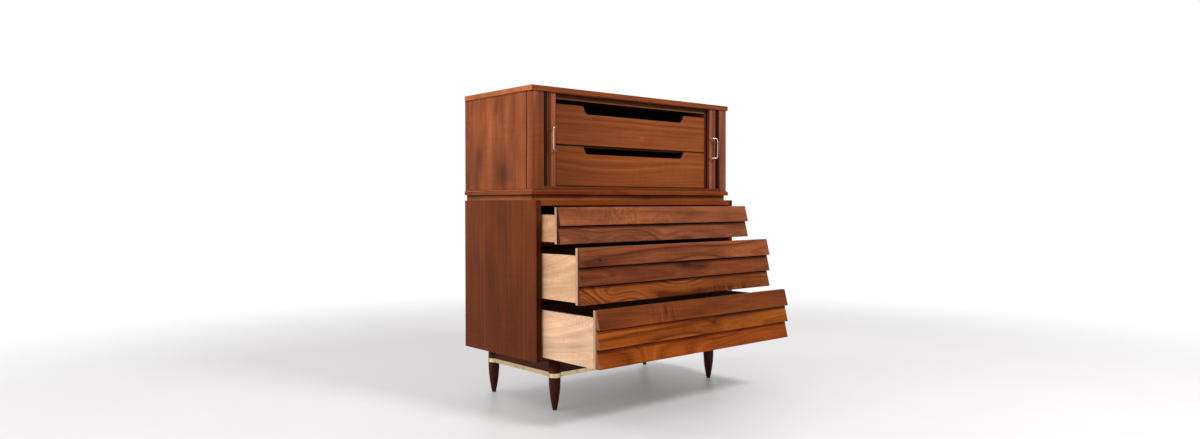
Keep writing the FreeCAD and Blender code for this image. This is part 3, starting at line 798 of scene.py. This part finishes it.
# The box tones darken from the low drawer to the top one, which stands further in: painted shade.
box_tones_with_shade = {
    "drawer_top": (0.59, 0.318, 0.158),
    "drawer_middle": (0.655, 0.383, 0.217),
    "drawer_low": (0.74, 0.465, 0.29),
}
inside_shade = 0.6
inward = 0.1
core_tone = (0.57, 0.335, 0.195)
core_edge_tone = (0.10, 0.035, 0.012)
wall_thickness = 0.0125
running_clearance = 0.0003
dovetail_depth = 0.011
dovetail_pitch = 0.030
pin_front = 0.0036
pin_back = 0.0058
pin_share = 0.92
cross_finish = 1
pin_finish = 2
for number, (drawer, figures) in enumerate(slat_figures.items()):
    core = drawer + "_core"
    finish = timber(core + "_maple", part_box(core), "Z", "X", core_tone, seed=111 + number,
                    contrast=maple_contrast, ends=core_edge_tone)
    plank(core, finish, "Z", thin_arris)
    louvres = drawer + "_louvres"
    low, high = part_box(louvres)
    slat_height = (high.z - low.z) / len(figures)
    for count, figure in enumerate(figures):
        head = high.z - count * slat_height
        foot = head - slat_height
        thickening = (high.y - low.y - slat_top) / (slat_height - slat_land)
        seam_front = high.y - slat_top - thickening * seam_height
        seam_foot = head - seam_height
        outline = ((high.y, foot), (high.y, head), (high.y - slat_top, head), (seam_front, seam_foot),
                   (low.y, foot + slat_land), (low.y, foot))
        bm = bmesh.new()
        painted_shade = bm.faces.layers.float.new("painted_shade")
        profile_board(bm, outline, low.x, high.x)
        # Painted shade in the corner under the lip of the slat above.
        for face in bm.faces:
            shade_under_lip = count > 0 and min(vert.co.z for vert in face.verts) > seam_foot - hair
            face[painted_shade] = float(shade_under_lip)
        mark_ends(bm, "X")
        ease(bm, board_arris)
        slat_box = (Vector((low.x, low.y, foot)), Vector((high.x, high.y, head)))
        finish = timber(drawer + "_slat_walnut_" + str(count + 1), slat_box, "X", "Z",
                        ends=slat_end_tones_with_shade[drawer], **figure)
        fit(drawer + "_slat_" + str(count + 1), bm, [finish], louvres)
    walls = drawer + "_walls"
    sheet = drawer + "_bottom"
    low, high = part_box(walls)
    wall_finishes = []
    for along, share in (("Y", 1.0), ("X", 1.0), ("X", pin_share)):
        tone = tuple(channel * share for channel in box_tones_with_shade[drawer])
        name = walls + "_maple_" + str(len(wall_finishes))
        wall_finishes.append(timber(name, (low, high), along, "Z", tone, seed=121 + number, ring=0.006,
                                    heart=(0.16, 0.4), lean=0.25, contrast=0.18, lines=0.06, streaks=0.1,
                                    curl=0.12, curl_breaks=30.0, mottle=0.42, pores=0.1, roughness=0.48))
    foot_z = low.z + running_clearance
    base_y = low.y + dovetail_depth
    pins = round((high.z - foot_z) / dovetail_pitch)
    pin_places = [foot_z + (high.z - foot_z) * pin / pins for pin in range(pins + 1)]
    bm = bmesh.new()
    painted_shade = bm.faces.layers.float.new("painted_shade")
    for start_x, end_x in both_ends(low.x, high.x, wall_thickness):
        wall = ((base_y, foot_z), (high.y, foot_z), (high.y, high.z), (base_y, high.z))
        profile_board(bm, wall, start_x, end_x)
        for foot, head in zip(pin_places, pin_places[1:]):
            tail = ((low.y, foot + pin_front), (base_y, foot + pin_back),
                    (base_y, head - pin_back), (low.y, head - pin_front))
            profile_board(bm, tail, start_x, end_x)
        for place in pin_places:
            pin = ((low.y, place - pin_front), (base_y, place - pin_back),
                   (base_y, place + pin_back), (low.y, place + pin_front))
            kept = [(y, min(max(z, foot_z), high.z)) for y, z in pin]
            profile_board(bm, kept, start_x, end_x, pin_finish)
    sheet_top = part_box(sheet)[1].z
    for start_y, end_y in ((low.y, base_y), (high.y - wall_thickness, high.y)):
        block(bm, (low.x + wall_thickness, start_y, sheet_top), (high.x - wall_thickness, end_y, high.z),
              cross_finish)
    # Painted shade on the faces of the box that look inward.
    middle = (low + high) / 2
    for face in bm.faces:
        faces_in = face.normal.xy.dot(middle.xy - face.calc_center_median().xy) > inward
        face[painted_shade] = inside_shade * faces_in
    ease(bm, fine_arris)
    fit(walls + "_boards", bm, wall_finishes, walls)
    lay_bottom(sheet, seed=131 + number)

# Inner drawers: walnut fronts with a long rounded cut-out in the top edge as the pull. The cut stops
# above the maple sides and back, which are nailed together behind the front. Painted shade darkens the
# faces inside the cut and the left end of each front, and stain has darkened the joints along the fronts.
inner_wall = 0.010
joint_reach = 0.006
front_arris = 0.0012
cut_margin = 0.05
top_margin = 0.001
cut_slope = 0.5
for number, (drawer, inner_tone, figure) in enumerate((
    ("inner_upper", (0.225, 0.056, 0.0155), (0.03, -0.035, 0.030, 0.022, 0.8, -0.5)),
    ("inner_lower", (0.243, 0.0595, 0.0142), (-0.15, -0.03, 0.30, 0.07, 5.0, 0.0)),
)):
    front = drawer + "_front"
    low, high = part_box(front)
    half_height = (high.z - low.z) / 2
    # Painted shade at the left end of each front, beside the stile and handle.
    shade_at_left = (low.x, 0.0, 0.55, everywhere, 0.0, 0.4)
    marks = [figure, shade_at_left, (0.0, -half_height, everywhere, joint_reach, 0.0, 1.0)]
    if drawer == "inner_lower":
        marks.append((0.0, half_height, everywhere, joint_reach, 0.0, 1.0))
    finish = timber(front + "_walnut", (low, high), "X", "Z", inner_tone, seed=141 + number, ring=0.006,
                    heart=(-0.16, 0.05), lean=0.004, sway=0.015, contrast=0.4, lines=0.08, marks=marks)
    bm = eased_copy(front, front_arris)
    painted_shade = bm.faces.layers.float.new("painted_shade")
    # Painted shade on the faces inside the cut.
    for face in bm.faces:
        middle = face.calc_center_median()
        off_ends = low.x + cut_margin < middle.x < high.x - cut_margin
        off_edges = low.z + cut_margin < middle.z < high.z - top_margin
        face[painted_shade] = float(off_ends and off_edges and abs(face.normal.y) < cut_slope)
    fit(front + "_board", bm, [finish], front)
    walls = drawer + "_walls"
    sheet = drawer + "_bottom"
    low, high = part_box(walls)
    wall_finishes = []
    for along in ("Y", "X"):
        wall_finishes.append(timber(walls + "_maple_" + along, (low, high), along, "Z", maple,
                                    seed=143 + number, contrast=maple_contrast))
    foot_z = low.z + running_clearance
    sheet_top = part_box(sheet)[1].z
    bm = bmesh.new()
    for start_x, end_x in both_ends(low.x, high.x, inner_wall):
        block(bm, (start_x, low.y, foot_z), (end_x, high.y, high.z))
    block(bm, (low.x + inner_wall, high.y - inner_wall, sheet_top), (high.x - inner_wall, high.y, high.z),
          cross_finish)
    ease(bm, fine_arris)
    fit(walls + "_boards", bm, wall_finishes, walls)
    lay_bottom(sheet, seed=145 + number)

# Floor and light: a wide pale floor with a soft sheen that fades to white. A white room lights the chest
# from the back, the left and above, and is dim at the front. A window at the left and a lamp behind it
# light the sides, and a smaller lamp high at the right front lights the drawers.
floor_reach = 12.0
floor_dark = (0.64, 0.62, 0.635, 1)
floor_pale = (0.69, 0.67, 0.685, 1)
fade_start = 2.0
fade_end = 3.8
least_white = 0.16
white = (1, 1, 1, 1)


def in_sight(root):
    """1 for what the camera sees straight, in a sheen or through a clear thing, and 0 for other light."""
    rays = root.node("LightPath", {}, {}, None)
    camera_ray, glossy_ray, transmission_ray = rays[0], rays[3], rays[6]
    return 1.0 - (1.0 - camera_ray) * (1.0 - glossy_ray) * (1.0 - transmission_ray)


floor_finish, root, place = new_finish("floor_pale")
sweep = root.node("VectorMath", {"operation": "LENGTH"}, {0: place}, "Value").within(fade_start, fade_end)
grime = place.clouds(3.0, detail=3.0)
matt = root.node("BsdfPrincipled", {}, {
    "Base Color": grime.blended(floor_dark, floor_pale),
    "Roughness": grime * 0.1 + 0.38,
    "Specular IOR Level": 0.5,
})
glow = root.node("Emission", {}, {"Color": white, "Strength": 1.0})
# Where the camera sees it, the floor glows white: at least a little near the chest, which lightens its
# shadows, and fully far off.
whiteness = sweep * (1.0 - least_white) + least_white
coat_with(floor_finish, root.node("MixShader", {}, {0: whiteness * in_sight(root), 1: matt, 2: glow}))
bm = bmesh.new()
bmesh.ops.create_grid(bm, x_segments=1, y_segments=1, size=floor_reach)
floor = shape("floor", bm, [floor_finish])

dim_fill = 0.1
bright_fill = 0.9
bright_way = (-0.2, 0.93, 0.3)
dim_until = -0.7
bright_from = 0.6
surround = bpy.data.worlds.new("surround")
surround.use_nodes = True
surround.node_tree.nodes.clear()
root = Shade(surround.node_tree)
way = root.node("TexCoord", {}, {}, "Generated")
towards_wall = root.node("VectorMath", {"operation": "DOT_PRODUCT"}, {0: way, 1: bright_way}, "Value")
fill = towards_wall.within(dim_until, bright_from) * (bright_fill - dim_fill) + dim_fill
air = root.node("Background", {}, {"Color": white, "Strength": in_sight(root) * (1.0 - fill) + fill})
world_out = surround.node_tree.nodes.new("ShaderNodeOutputWorld")
surround.node_tree.links.new(air.socket, world_out.inputs["Surface"])
bpy.context.scene.world = surround

aim = Vector((0, 0, 0.5))
for name, spot, size, power in (
    ("lamp_left", Vector((-4.2, 0.1, 1.3)), 2.2, 50.0),
    ("lamp_left_back", Vector((-2.6, 2.2, 3.9)), 1.6, 40.0),
    ("lamp_right_front", Vector((0.9, -3.6, 3.9)), 1.2, 200.0),
):
    lamp = bpy.data.lights.new(name, "AREA")
    lamp.shape = "SQUARE"
    lamp.size = size
    lamp.energy = power
    turn = (aim - spot).to_track_quat("-Z", "Y").to_matrix().to_4x4()
    stand(name, lamp).matrix_world = Matrix.Translation(spot) @ turn

# Camera: it stands at the left front, a little over the middle of the chest, and looks almost level.
# Its place, its turn and its lens come from the corners of the chest in the picture.
picture_width = 1200
picture_height = 439
focal_pixels = 829.65
axis_row = 213.785
sensor_width = 36.0
camera_yaw = math.radians(-41.127)
camera_pitch = math.radians(-0.795)
camera_roll = math.radians(-0.095)
camera_spot = Vector((-2.29009, -2.43282, 0.76097))
camera = bpy.data.cameras.new("camera")
camera.sensor_fit = "HORIZONTAL"
camera.sensor_width = sensor_width
camera.lens = sensor_width * focal_pixels / picture_width
camera.shift_y = (axis_row - picture_height / 2) / picture_width
turn = Matrix.Rotation(camera_yaw, 4, "Z") @ Matrix.Rotation(math.pi / 2 + camera_pitch, 4, "X")
turn = turn @ Matrix.Rotation(camera_roll, 4, "Z")
camera_object = stand("camera", camera)
camera_object.matrix_world = Matrix.Translation(camera_spot) @ turn
bpy.context.scene.camera = camera_object
bpy.context.scene.view_settings.view_transform = "Standard"
